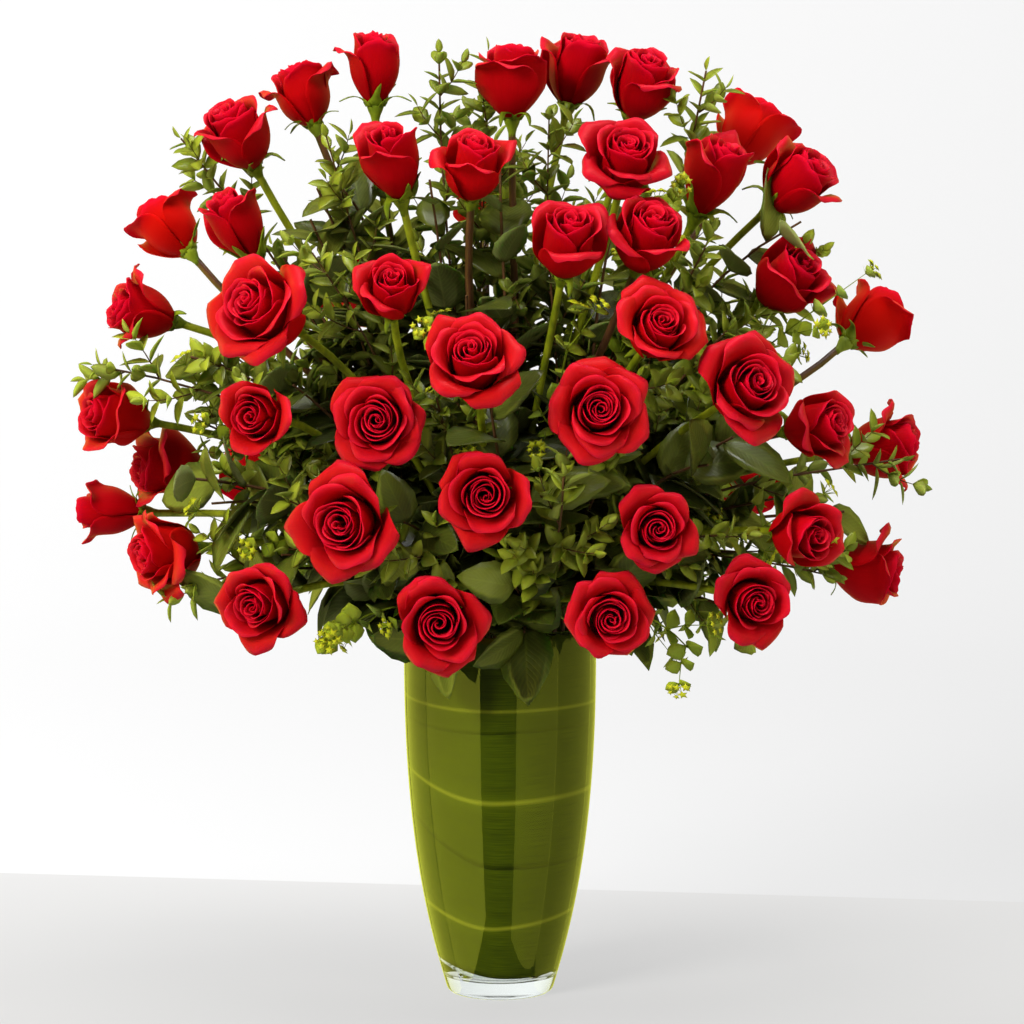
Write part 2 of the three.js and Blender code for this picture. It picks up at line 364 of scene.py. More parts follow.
def new_group(name, vectors, numbers, results):
    """A group of shader nodes with named inputs and results, and what stands at its two ends."""
    tree = bpy.data.node_groups.new(name, "ShaderNodeTree")
    for label in vectors:
        tree.interface.new_socket(label, in_out="INPUT", socket_type="NodeSocketVector")
    for label in numbers:
        tree.interface.new_socket(label, in_out="INPUT", socket_type="NodeSocketFloat")
    for label in results:
        tree.interface.new_socket(label, in_out="OUTPUT", socket_type="NodeSocketFloat")
    return tree, tree.nodes.new("NodeGroupInput").outputs, tree.nodes.new("NodeGroupOutput")


def lining_marks():
    """The shared look of a lining leaf: level fibres, patches, a midrib with a glow, a darker line along
    the lower edge and painted shade over the part lapped behind the next leaf.
    """
    results = ("Fibres", "Patches", "Glow", "Line", "Seam_shade")
    tree, took, gave = new_group("lining_skin", ("Chart",), ("Rib", "Slant"), results)
    place = put(tree, "SeparateXYZ", {0: took["Chart"]}).outputs
    around, across = place["X"], place["Y"]
    tilt = sums(tree, "MULTIPLY", sums(tree, "SINE", sums(tree, "MULTIPLY", around, 6.04)), took["Slant"])
    off = sums(tree, "ABSOLUTE", sums(tree, "SUBTRACT", sums(tree, "ADD", across, tilt), took["Rib"]))
    near_rib = sums(tree, "MAXIMUM", sums(tree, "MULTIPLY_ADD", off, -7, 1), 0)
    on_rib = sums(tree, "MAXIMUM", sums(tree, "MULTIPLY_ADD", off, -48, 1), 0)
    # a darker line along the lower edge, and painted shade over the part lapped behind the next leaf
    cut = sums(tree, "MAXIMUM", sums(tree, "MULTIPLY_ADD", across, -110, 1), 0)
    feed(tree, gave, {
        "Fibres": noise(tree, stretched(tree, took["Chart"], (5, 70, 1)), 3.0, 2, 0.5),
        "Patches": noise(tree, stretched(tree, took["Chart"], (9, 1.3, 1)), 2.0, 3),
        "Glow": sums(tree, "POWER", near_rib, 3),
        "Line": sums(tree, "POWER", on_rib, 0.8),
        "Seam_shade": sums(tree, "ADD", cut, sums(tree, "GREATER_THAN", across, 0.846)),
    })
    return tree


lining_skin = lining_marks()


def lining_finish(name, rib, slant):
    """Olive leaf with level fibres, and a pale midrib at a share of the leaf's width."""
    material, tree, shader = new_material(name)
    chart = put(tree, "UVMap", uv_map="UVMap").outputs["UV"]
    inputs = {"Chart": chart, "Rib": rib, "Slant": slant}
    skin = put(tree, "Group", inputs, node_tree=lining_skin).outputs
    fibres, line = skin["Fibres"], skin["Line"]
    leafy = ramp(
        tree,
        fibres,
        (0.30, (0.027, 0.040, 0.0002)),
        (0.5, (0.051, 0.068, 0.0004)),
        (0.72, (0.084, 0.102, 0.0008)),
    )
    olive = blended(tree, sums(tree, "MULTIPLY", skin["Patches"], 0.6), leafy, (0.034, 0.045, 0.0006))
    near_rib = blended(tree, sums(tree, "MULTIPLY", skin["Glow"], 0.45), olive, (0.105, 0.125, 0.003))
    ribbed = blended(tree, sums(tree, "MULTIPLY", line, 0.8), near_rib, (0.25, 0.25, 0.012))
    # painted shade at the seams: the lower edge and the lapped part turn dark
    seam_shaded = blended(tree, sums(tree, "MULTIPLY", skin["Seam_shade"], 0.75), ribbed, (0.022, 0.026, 0.002))
    height = sums(tree, "ADD", sums(tree, "MULTIPLY", fibres, 0.6), sums(tree, "MULTIPLY", line, 0.7))
    feed(tree, shader, {
        "Base Color": seam_shaded,
        "Roughness": sums(tree, "MULTIPLY_ADD", fibres, 0.3, 0.4),
        "Specular IOR Level": 0.04,
        "Normal": bumped(tree, height, 0.15, 0.0006),
    })
    return material


lining_feet = [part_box(f"lining_leaf_{number}")[0][2] for number in (1, 2, 3)]


def cut_edge(number, angle):
    """How high the lower edge of each lining leaf stands at an angle; they rise to the left."""
    rise = (0.009, 0.036, 0.004)[number - 1]
    left = max(0.0, -math.cos(angle)) ** 2
    return lining_feet[number - 1] + rise * left + 0.0012 * math.sin(2.2 * angle + number)


glass_inside = glass_wall - 0.0001
lapped_share = 0.85
for number, rib, slant in ((1, 0.40, 0.06), (2, 0.42, 0.012), (3, 0.20, -0.012)):
    bpy.ops.mesh.primitive_grid_add(x_subdivisions=144, y_subdivisions=20, size=2)
    band = bpy.context.object
    band.name = f"curled_leaf_{number}"
    for vertex in band.data.vertices:
        turn, share = vertex.co.x, (vertex.co.y + 1) / 2
        angle = math.radians(-90 + 186 * turn)
        bottom = cut_edge(number, angle)
        top = cut_edge(number + 1, angle) if number < 3 else vase_height - 0.0035
        in_sight = share / lapped_share if share <= 0.84 else 1.0
        height = bottom + (top + 0.0006 - bottom) * in_sight
        behind_next = (share - lapped_share) / (1 - lapped_share)
        sunk = 0.0
        if number < 3 and behind_next > 0.01:
            height += 0.004 + 0.012 * behind_next
            sunk = 0.0011
        if turn > 0.96:
            sunk += 0.0009
        radius = wall_radius(height) - glass_inside - sunk
        vertex.co = (radius * math.cos(angle), radius * math.sin(angle), height)
    bpy.ops.object.modifier_add(type="SOLIDIFY")
    band.modifiers[0].thickness = 0.0005
    band.modifiers[0].offset = -1
    bpy.ops.object.modifier_apply(modifier=band.modifiers[0].name)
    bpy.ops.object.shade_smooth()
    band.data.materials.append(lining_finish(f"lining_green_{number}", rib, slant))
    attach(band, "root")
    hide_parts(f"lining_leaf_{number}")


# ------------------------------------------------------------------ how the stems stand
# Every stem is pushed through the mouth to the vase's floor. The stems stand in rings about a free
# middle, upright ones inside and spreading ones outside, then bend once to where each flower is.

crown_half = Vector((0.320, -0.200, 0.330))
crown_middle = Vector((0.0, 0.014, vase_height + 0.116))
stem_radius = 0.0029


def crown_place(across, forward, up):
    """A place in the crown, each way a share of its half size from its middle."""
    share = Vector((across, forward, up))
    return crown_middle + Vector(a * b for a, b in zip(crown_half, share))


def heading(bearing, rise):
    """A direction: degrees round from the front to the right, and degrees up."""
    b, r = math.radians(bearing), math.radians(rise)
    return Vector((math.sin(b) * math.cos(r), -math.cos(b) * math.cos(r), math.sin(r)))


def moved_apart(angles, gap):
    """Moves sorted angles apart until each is at least a gap from the next."""
    moved = list(angles)
    for _ in range(400):
        for i in range(len(moved)):
            after = (i + 1) % len(moved)
            space = moved[after] + (0 if after else 2 * math.pi) - moved[i]
            if space < gap:
                moved[i] -= (gap - space) / 2
                moved[after] += (gap - space) / 2
    return moved


def stand_stems(stems, ring_counts):
    """Gives each stem its cut end on the vase's floor and its place in the mouth."""
    for stem in stems:
        lean = stem["end"] - Vector((0, 0, vase_height))
        stem["tilt"] = lean.angle(Vector((0, 0, 1)))
        stem["angle"] = math.atan2(lean.y, lean.x)
    waiting = sorted(stems, key=lambda stem: stem["tilt"])
    floor_outer = wall_radius(glass_floor) - glass_wall - 0.0125
    mouth_outer = mouth_radius - glass_wall - 0.0115
    for index, count in enumerate(ring_counts):
        ring = sorted(waiting[:count], key=lambda stem: stem["angle"])
        waiting = waiting[count:]
        share = index / (len(ring_counts) - 1)
        on_floor = 0.0104 + (floor_outer - 0.0104) * share
        at_mouth = 0.017 + (mouth_outer - 0.017) * share
        gap = (2 * stem_radius + 0.0008) / on_floor
        angles = moved_apart([stem["angle"] for stem in ring], gap)
        for stem, angle in zip(ring, angles):
            x, y = math.cos(angle), math.sin(angle)
            stem["cut"] = Vector((on_floor * x, on_floor * y, glass_floor + 0.002))
            stem["mouth"] = Vector((at_mouth * x, at_mouth * y, vase_height))


def stem_knots(stem, tip_share):
    """The knots of a stem's curve: its cut end, the mouth and where it ends."""
    cut, mouth, end = stem["cut"], stem["mouth"], stem["end"]
    climb = (mouth - cut).normalized()
    reach = 0.38 * (end - mouth).length
    stem["bend"] = (mouth, mouth + climb * reach, end - stem["look"] * reach, end)
    return [
        (cut, cut - climb * 0.01, cut + climb * 0.08, 1.0),
        (mouth, mouth - climb * 0.08, mouth + climb * reach, 1.0),
        (end, end - stem["look"] * reach, end + stem["look"] * 0.01, tip_share),
    ]


def draw_stem(name, knots, radius, smoothness, roundness):
    """A round stem through its knots, closed at both ends."""
    bpy.ops.curve.primitive_bezier_curve_add(location=(0, 0, 0))
    stem = bpy.context.object
    stem.name = name
    line = stem.data.splines[0]
    line.bezier_points.add(len(knots) - 2)
    line.resolution_u = smoothness
    for knot, (place, back, on, share) in zip(line.bezier_points, knots):
        knot.handle_left_type = "FREE"
        knot.handle_right_type = "FREE"
        knot.co = place
        knot.handle_left = back
        knot.handle_right = on
        knot.radius = share
    stem.data.resolution_u = smoothness
    stem.data.bevel_depth = radius
    stem.data.bevel_resolution = roundness
    stem.data.use_fill_caps = True
    return stem


def joined(parts, name):
    """Joins finished parts into the first of them."""
    bpy.ops.object.select_all(action="DESELECT")
    for part in parts:
        part.select_set(True)
    bpy.context.view_layer.objects.active = parts[0]
    spent = [part.data for part in parts[1:]]
    bpy.ops.object.join()
    bpy.data.batch_remove(spent)
    parts[0].name = name
    return parts[0]


# ------------------------------------------------------------------ the roses
# Four dozen hybrid tea roses, from buds to fully open flowers. Each is one grown piece: a round
# stem, a swollen calyx with five sepals, and 10 to 24 petals that wrap the middle in a spiral.

roses = [
    # bloom, across, forward, up, bearing, rise, dark stem, orange in the petals (partly random tone,
    # partly painted backlight on the roses that face the back), size
    ("half", -0.5, -0.2, 0.93, -105, 68, 1, 0.35, 0.9),
    ("bud", -0.31, 0.0, 0.98, 0, 85, 0, 0.1, 1.05),
    ("half", -0.65, 0.0, 0.82, -45, 55, 0, 0.1, 1.0),
    ("half", -0.85, -0.42, 0.6, -120, 45, 1, 0.9, 0.95),
    ("bud", -0.64, 0.15, 0.6, -60, 60, 1, 0.15, 1.08),
    ("half", -0.89, 0.1, 0.4, -70, 15, 0, 0.1, 0.92),
    ("bud", -0.25, 0.6, 0.75, -20, 60, 0, 0.1, 1.1),
    ("half", -0.06, 0.65, 0.75, 10, 62, 1, 0.3, 0.9),
    ("half", 0.03, 0.05, 0.95, 0, 86, 1, 0.15, 1.02),
    ("half", 0.19, -0.2, 0.98, 60, 75, 0, 0.0, 1.0),
    ("half", 0.35, 0.0, 0.94, 30, 62, 0, 0.0, 1.0),
    ("open", 0.3, 0.57, 0.76, 10, 45, 0, 0.0, 1.0),
    ("half", 0.64, -0.5, 0.83, 140, 50, 1, 0.8, 1.0),
    ("bud", 0.52, 0.15, 0.71, 50, 60, 0, 0.1, 1.2),
    ("half", 0.73, 0.1, 0.71, 60, 40, 0, 0.0, 1.0),
    ("half", 0.16, 0.8, 0.57, 12, 52, 0, 0.1, 1.0),
    ("half", 0.35, 0.68, 0.58, 20, 45, 1, 0.1, 1.0),
    ("half", 0.7, 0.2, 0.48, 45, 38, 0, 0.0, 1.0),
    ("half", 0.94, -0.3, 0.37, 125, 35, 1, 0.9, 1.0),
    ("open", -0.54, 0.73, 0.41, -35, 22, 0, 0.3, 1.25),
    ("half", -0.25, 0.85, 0.47, 0, 42, 0, 0.2, 0.82),
    ("open", -0.06, 1.06, 0.31, -5, 32, 0, 0.3, 1.05),
    ("open", 0.37, 0.85, 0.38, 15, 25, 0, 0.5, 1.0),
    ("open", 0.58, 0.78, 0.24, 22, 18, 0, 0.1, 1.12),
    ("full", 0.23, 0.95, 0.2, 5, 8, 0, 0.3, 1.12),
    ("full", -0.28, 0.86, 0.17, -8, 8, 0, 0.2, 1.1),
    ("half", -0.57, 0.8, 0.18, -20, 5, 0, 0.4, 0.85),
    ("half", -0.95, 0.12, 0.15, -55, 10, 0, 0.6, 0.98),
    ("half", -0.84, -0.12, 0.02, -70, 2, 0, 0.2, 1.0),
    ("bud", -0.99, -0.18, -0.1, -90, 0, 0, 0.1, 1.0),
    ("open", -0.82, 0.24, -0.17, -60, -5, 0, 0.7, 1.05),
    ("open", -0.35, 0.93, -0.06, -15, 5, 0, 0.2, 1.15),
    ("open", -0.03, 1.0, 0.01, 0, 5, 0, 0.3, 1.0),
    ("open", 0.37, 0.92, -0.07, 5, 5, 0, 0.1, 0.9),
    ("half", 0.76, 0.6, 0.15, 50, 12, 1, 0.1, 0.9),
    ("half", 0.96, -0.05, 0.07, 75, 10, 0, 0.1, 1.0),
    ("half", 0.72, 0.69, -0.1, 35, 0, 0, 0.2, 0.92),
    ("half", 0.92, -0.05, -0.23, 80, -5, 0, 0.2, 1.02),
    ("open", 0.6, 0.76, -0.25, 15, 0, 0, 0.1, 0.92),
    ("full", 0.26, 0.92, -0.27, 5, -2, 0, 0.2, 1.0),
    ("open", -0.14, 0.95, -0.28, 0, 0, 0, 0.2, 1.05),
    ("open", -0.56, 0.79, -0.25, -25, -5, 0, 0.2, 0.97),
    ("open", -0.36, -0.92, 0.42, -160, 25, 0, 0.2, 1.0),
    ("open", 0.32, -0.98, 0.3, 165, 20, 0, 0.1, 1.0),
    ("half", -0.04, -0.72, 0.66, 180, 50, 1, 0.3, 1.0),
    ("half", -0.64, -0.82, 0.0, -140, 5, 0, 0.1, 1.0),
    ("full", 0.0, -1.08, -0.06, 180, 5, 0, 0.2, 1.0),
    ("open", 0.64, -0.8, -0.06, 140, 5, 0, 0.2, 1.0),
]

# For each bloom: its length, how many petals, their length and half width, the radius of the cup,
# the share of a petal that swells to it and how late, the share of the petals that are loose, how
# far the last leans out and rolls back in degrees, and the middle's length, closing and eye.
blooms = {
    "bud": dict(
        length=0.054, count=10, petal=0.056, half=0.022, cup=0.0195, swell=0.64, late=2.0,
        loose=0.30, lean=9, roll=85, middle=0.97, closing=13, eye=0.0026,
    ),
    "half": dict(
        length=0.056, count=15, petal=0.061, half=0.030, cup=0.0258, swell=0.62, late=1.7,
        loose=0.34, lean=15, roll=118, middle=0.93, closing=9, eye=0.0036,
    ),
    "open": dict(
        length=0.048, count=20, petal=0.056, half=0.029, cup=0.0255, swell=0.52, late=1.5,
        loose=0.50, lean=46, roll=125, middle=0.84, closing=8, eye=0.0034,
    ),
    "full": dict(
        length=0.044, count=24, petal=0.051, half=0.028, cup=0.0255, swell=0.46, late=1.4,
        loose=0.58, lean=62, roll=112, middle=0.80, closing=8, eye=0.0034,
    ),
}


golden_turn = math.radians(137.5)


def eased(value):
    """A soft step from 0 to 1."""
    value = np.clip(value, 0, 1)
    return value * value * (3 - 2 * value)


def make_blank(name, across, along, marks):
    """A flat grid from which petals, sepals and leaves are shaped, with a value for each mark."""
    bpy.ops.mesh.primitive_grid_add(x_subdivisions=across, y_subdivisions=along, size=2)
    blank = bpy.context.object
    blank.name = name
    for mark in marks:
        blank.data.attributes.new(mark, "FLOAT", "POINT")
    return blank


def shaped_copy(blank, shape, **marks):
    """A copy of a blank whose points go where shape(across, along) puts them."""
    mesh = blank.data.copy()
    count = len(mesh.vertices)
    flat = np.empty(3 * count)
    mesh.vertices.foreach_get("co", flat)
    flat = flat.reshape(-1, 3)
    columns = len(np.unique(flat[:, 0].round(5)))
    across = flat[:, 0].reshape(-1, columns)
    along = (flat[:, 1].reshape(-1, columns) + 1) / 2
    places = np.stack([axis.ravel() for axis in shape(across, along)], 1)
    mesh.vertices.foreach_set("co", places.ravel())
    for mark, value in marks.items():
        mesh.attributes[mark].data.foreach_set("value", np.full(count, value, np.float32))
    mesh.update()
    copy = bpy.data.objects.new(blank.name + "_copy", mesh)
    bpy.context.collection.objects.link(copy)
    return copy


def petal_shape(bloom, age, opening, chance):
    """The shape of one petal: age 0 is the innermost and 1 the outermost."""
    loose = float(eased((age - 1 + bloom["loose"]) / bloom["loose"]))
    length = bloom["petal"] * (bloom["middle"] + (1 - bloom["middle"]) * age)
    length *= chance.uniform(0.95, 1.04)
    half = 0.0095 + (bloom["half"] - 0.0095) * age**0.8 * chance.uniform(0.92, 1.06)
    ring = bloom["eye"] + (bloom["cup"] - bloom["eye"]) * age**0.76 * chance.uniform(0.93, 1.05)
    foot = 0.0012 + 0.0034 * age
    lean = math.radians(bloom["lean"] * loose * chance.uniform(0.65, 1.2)) * opening
    roll = math.radians((26 + bloom["roll"] * loose) * chance.uniform(0.75, 1.2))
    closing = math.radians(bloom["closing"] * (1 - age) ** 0.6 + 2) * (1 - loose)
    wave = chance.uniform(0, 6.28)
    aside = (chance.uniform(-0.0017, 0.0017), chance.uniform(-0.0018, 0.0018))
    swell = bloom["swell"]
    need = min(max((ring - foot) / (swell * length), 0), 0.8)
    start = math.pi / 2 - math.radians(87 * need + 27 * need * need)

    def shape(u, v):
        side = np.abs(u)
        outline = 1 - (0.06 + 0.09 * age) * side**2.6 + 0.04 * loose * np.exp(-((u / 0.2) ** 2))
        outline = outline + (0.008 + 0.012 * loose) * np.sin(6.3 * u + 2 * wave)
        s = v * outline
        step = np.diff(s, axis=0, prepend=s[:1]) * length
        rise = start + (math.pi / 2 - start) * np.clip(s / swell, 0, 1) ** bloom["late"]
        rise -= lean * eased((s - 0.42) / 0.5)
        rise += closing * eased((s - 0.45) / 0.5)
        lip = 0.80 - 0.10 * loose
        rolled = np.clip((s - lip) / (1 - lip), 0, 1.2) ** 1.6
        rise -= roll * rolled * (0.5 + 0.95 * side**1.3)
        out = foot + np.cumsum(np.cos(rise) * step, axis=0)
        up = np.cumsum(np.sin(rise) * step, axis=0)
        width = half * (0.24 + 0.76 * np.sin(np.pi / 2 * np.clip(v / 0.66, 0, 1)) ** 1.15)
        width *= 1 - 0.14 * np.clip((v - 0.8) / 0.2, 0, 1) ** 2
        middle = out[:, out.shape[1] // 2][:, None]
        arc = np.minimum(np.maximum(middle, 0.0018), ring * 1.25 + 0.002)
        arc = arc * (1 + 0.5 * loose * eased((v - 0.3) / 0.5))
        turn = np.clip(u * width / arc, -2.3, 2.3)
        spread = out - middle + (0.0013 + 0.0009 * (1 - age)) * u * eased(v / 0.4)
        x = middle - arc + (arc + spread) * np.cos(turn)
        y = (arc + spread) * np.sin(turn)
        x = x + (0.0005 + 0.0013 * loose) * np.sin(3.1 * u + wave) * v**3 + aside[0] * v
        y = y + aside[1] * v
        z = up + (0.0003 + 0.0011 * loose) * np.sin(4.3 * u + 1.7 * wave) * v**3
        z = z + 0.0006 * np.sin(10 * u + 3 * wave) * v**7
        return x, y, z

    return shape


def sepal_shape(reach, lean, twist):
    """A narrow sepal that starts beside the petals and bends away from them."""

    def shape(u, v):
        rise = math.radians(52) - lean * eased((v - 0.1) / 0.9)
        step = np.diff(v, axis=0, prepend=v[:1]) * reach
        out = 0.0052 + np.cumsum(np.cos(rise) * step, axis=0)
        up = -0.001 + np.cumsum(np.sin(rise) * step, axis=0)
        half = 0.0056 * (1 - v) ** 0.9 * (1 + 0.25 * np.sin(9 * v)) + 0.0003
        return out - 0.0006 * u * u, u * half + twist * v * v, up

    return shape


def petal_streaks():
    """The shared look of a petal's skin: veins that fan from its foot, a lip mask for the partly painted
    highlight on the rim, and a mask of painted shade towards the foot.
    """
    tree, took, gave = new_group("petal_skin", ("Chart",), (), ("Veins", "Lip_highlight", "Depth"))
    chart = took["Chart"]
    along = put(tree, "SeparateXYZ", {0: chart}).outputs["Y"]
    feed(tree, gave, {
        "Veins": noise(tree, stretched(tree, chart, (34, 1.6, 1)), 1.6, 4, 0.62),
        "Lip_highlight": sums(tree, "POWER", along, 14),
        "Depth": sums(tree, "SUBTRACT", 1, sums(tree, "POWER", along, 0.7)),
    })
    return tree


petal_skin = petal_streaks()


def petal_finish(name, deep, bright, orange, lip_highlight_colour, rough, gloss):
    """Velvety petal: deep red with fine veins, painted darker as shade towards the foot, brightening to a
    rosy lip that is partly its own colour and partly a painted highlight on the rolled rim, with orange
    that is partly painted backlight.
    """
    material, tree, shader = new_material(name)
    chart = put(tree, "UVMap", uv_map="UVMap").outputs["UV"]
    skin = put(tree, "Group", {"Chart": chart}, node_tree=petal_skin)
    where = put(tree, "TexCoord").outputs["Object"]
    blotch = noise(tree, where, 55, 2)
    age = put(tree, "Attribute", attribute_name="age").outputs["Fac"]
    warm = put(tree, "Attribute", attribute_name="warm").outputs["Fac"]
    tone = sums(tree, "MULTIPLY_ADD", skin.outputs["Veins"], 0.55, sums(tree, "MULTIPLY", blotch, 0.5))
    red = blended(tree, sums(tree, "MULTIPLY", tone, 0.9), deep, bright)
    outer = sums(tree, "MULTIPLY_ADD", age, 0.5, 0.4)
    # orange that is partly painted backlight: strongest on the outer petals of the roses that face the
    # back
    red = blended(tree, sums(tree, "MULTIPLY", warm, outer), red, orange)
    # painted shade: the petal darkens towards its foot, deep in the flower
    red = blended(tree, sums(tree, "MULTIPLY", skin.outputs["Depth"], 0.45), red, deep)
    # partly painted highlight: the rolled lip turns a brighter rose
    red = blended(tree, sums(tree, "MULTIPLY", skin.outputs["Lip_highlight"], 0.6), red, lip_highlight_colour)
    feed(tree, shader, {
        "Base Color": red,
        "Roughness": sums(tree, "MULTIPLY_ADD", skin.outputs["Veins"], 0.25, rough),
        "Specular IOR Level": gloss,
        "Specular Tint": (1.0, 0.22, 0.20),
        "Subsurface Weight": 0.2,
        "Subsurface Radius": (1.0, 0.06, 0.05),
        "Subsurface Scale": 0.003,
        "Normal": bumped(tree, skin.outputs["Veins"], 0.22, 0.0005),
    })
    return material


petal_face = petal_finish(
    "petal_face",
    deep=(0.18, 0.0001, 0.0015),
    bright=(0.56, 0.0003, 0.0060),
    orange=(0.62, 0.0045, 0.0010),
    lip_highlight_colour=(0.72, 0.0040, 0.0340),
    rough=0.5,
    gloss=0.08,
)
petal_back = petal_finish(
    "petal_back",
    deep=(0.23, 0.0003, 0.0030),
    bright=(0.58, 0.0022, 0.0100),
    orange=(0.66, 0.0110, 0.0020),
    lip_highlight_colour=(0.74, 0.0090, 0.0420),
    rough=0.36,
    gloss=0.36,
)


def stem_marks():
    """The shared look of a stem's skin: marks along it and a fine grain."""
    tree, took, gave = new_group("stem_skin", ("Place",), (), ("Marks", "Grain"))
    feed(tree, gave, {
        "Marks": noise(tree, stretched(tree, took["Place"], (90, 90, 14)), 1.5, 3),
        "Grain": noise(tree, took["Place"], 420, 2),
    })
    return tree


stem_skin = stem_marks()


def green_finish(name, dark, light, rough, gloss):
    """Smooth green skin of stems, calyxes and sepals, blotched along the stem."""
    material, tree, shader = new_material(name)
    where = put(tree, "TexCoord").outputs["Object"]
    skin = put(tree, "Group", {"Place": where}, node_tree=stem_skin).outputs
    feed(tree, shader, {
        "Base Color": ramp(tree, skin["Marks"], (0.3, dark), (0.7, light)),
        "Roughness": sums(tree, "MULTIPLY_ADD", skin["Grain"], 0.2, rough),
        "Specular IOR Level": gloss,
        "Normal": bumped(tree, skin["Grain"], 0.2, 0.0004),
    })
    return material


stem_green = green_finish("rose_stem_green", (0.11, 0.14, 0.003), (0.30, 0.33, 0.010), 0.35, 0.35)
stem_dark = green_finish("rose_stem_dark", (0.035, 0.012, 0.006), (0.11, 0.035, 0.014), 0.35, 0.5)
calyx_green = green_finish("calyx_green", (0.07, 0.11, 0.003), (0.22, 0.28, 0.010), 0.42, 0.3)


def leaf_shape(length, half, widest, fold, droop, curl):
    """A pointed leaf that grows along +Y: folded up along its midrib and drooping to its tip."""

    def shape(u, v):
        width = half * np.sin(np.pi * v**widest) ** 0.8 + 0.02 * half
        width *= 1 + 0.035 * np.cos(np.pi * np.round(v * (v.shape[0] - 1)))
        x = u * width
        y = v * length * (1 - 0.18 * droop * v)
        z = fold * np.abs(x) - droop * length * v * v + curl * np.sin(2.4 * u + 5 * v) * v * (1 - v)
        return x, y, z

    return shape


def pick(piece):
    """Selects one piece alone."""
    bpy.ops.object.select_all(action="DESELECT")
    piece.select_set(True)
    bpy.context.view_layer.objects.active = piece


def cut_leaf(name, across, along, shape, thickness, upper, under):
    """A closed thin leaf: an upper face and a paler copy of it below, joined at the edge."""
    blank = make_blank(name, across, along, ("young", "shade"))
    leaf = shaped_copy(blank, shape, young=0, shade=0)
    leaf.name = name
    bpy.data.objects.remove(blank)
    pick(leaf)
    bpy.ops.object.mode_set(mode="EDIT")
    bpy.ops.mesh.select_all(action="SELECT")
    bpy.ops.mesh.duplicate()
    bpy.ops.mesh.flip_normals()
    bpy.ops.object.mode_set(mode="OBJECT")
    columns, rows = across + 1, along + 1
    count = columns * rows
    for index, vertex in enumerate(leaf.data.vertices):
        column, row = index % count % columns, index % count // columns
        inner = 0 < column < across and 0 < row < along
        if index >= count and inner:
            vertex.co.z -= thickness
    leaf.data.materials.append(upper)
    leaf.data.materials.append(under)
    for face in leaf.data.polygons:
        face.material_index = int(face.vertices[0] >= count)
    bpy.ops.object.mode_set(mode="EDIT")
    bpy.ops.mesh.select_all(action="SELECT")
    bpy.ops.mesh.remove_doubles(threshold=1e-6)
    bpy.ops.object.mode_set(mode="OBJECT")
    bpy.ops.object.shade_smooth()
    leaf.hide_render = True
    return leaf


def lay_leaf(leaf, place, along, face, size, young, shade):
    """A copy of a leaf at a place, growing one way and facing another, with painted shade: leaves deep in
    the crown are darker and less fresh, and the outer ones lighter.
    """
    # Painted shade and light: a leaf's share of light grows from the middle of the crown outward.
    reach = Vector(away / half for away, half in zip(place - crown_middle, crown_half)).length
    outside = min(max((reach - 0.42) / 0.42, 0), 1)
    side = along.cross(face).normalized()
    along = along.normalized()
    turn = Matrix((side, along, side.cross(along))).transposed().to_4x4()
    mesh = leaf.data.copy()
    mesh.transform(Matrix.Translation(place) @ turn @ Matrix.Scale(size, 4))
    # painted shade: deep leaves lose tone and freshness; painted light: outer leaves gain tone
    for mark, value in (("young", young * (0.3 + 0.8 * outside)), ("shade", (shade + 0.4) * outside)):
        mesh.attributes[mark].data.foreach_set("value", [value] * len(mesh.vertices))
    copy = bpy.data.objects.new(leaf.name, mesh)
    bpy.context.collection.objects.link(copy)
    return copy


def leaf_marks():
    """The shared look of a leaf's skin: side veins, the midrib and a mottle."""
    tree, took, gave = new_group("leaf_skin", ("Chart", "Place"), (), ("Veins", "Rib", "Mottle"))
    place = put(tree, "SeparateXYZ", {0: took["Chart"]}).outputs
    off = sums(tree, "ABSOLUTE", sums(tree, "SUBTRACT", place["X"], 0.5))
    slope = sums(tree, "MULTIPLY_ADD", off, -9, sums(tree, "MULTIPLY", place["Y"], 13))
    waves = sums(tree, "SINE", sums(tree, "MULTIPLY", slope, 3.1416))
    feed(tree, gave, {
        "Veins": sums(tree, "POWER", sums(tree, "ABSOLUTE", waves), 0.35),
        "Rib": sums(tree, "MAXIMUM", sums(tree, "MULTIPLY_ADD", off, -26, 1), 0),
        "Mottle": noise(tree, took["Place"], 130, 3),
    })
    return tree


leaf_skin = leaf_marks()


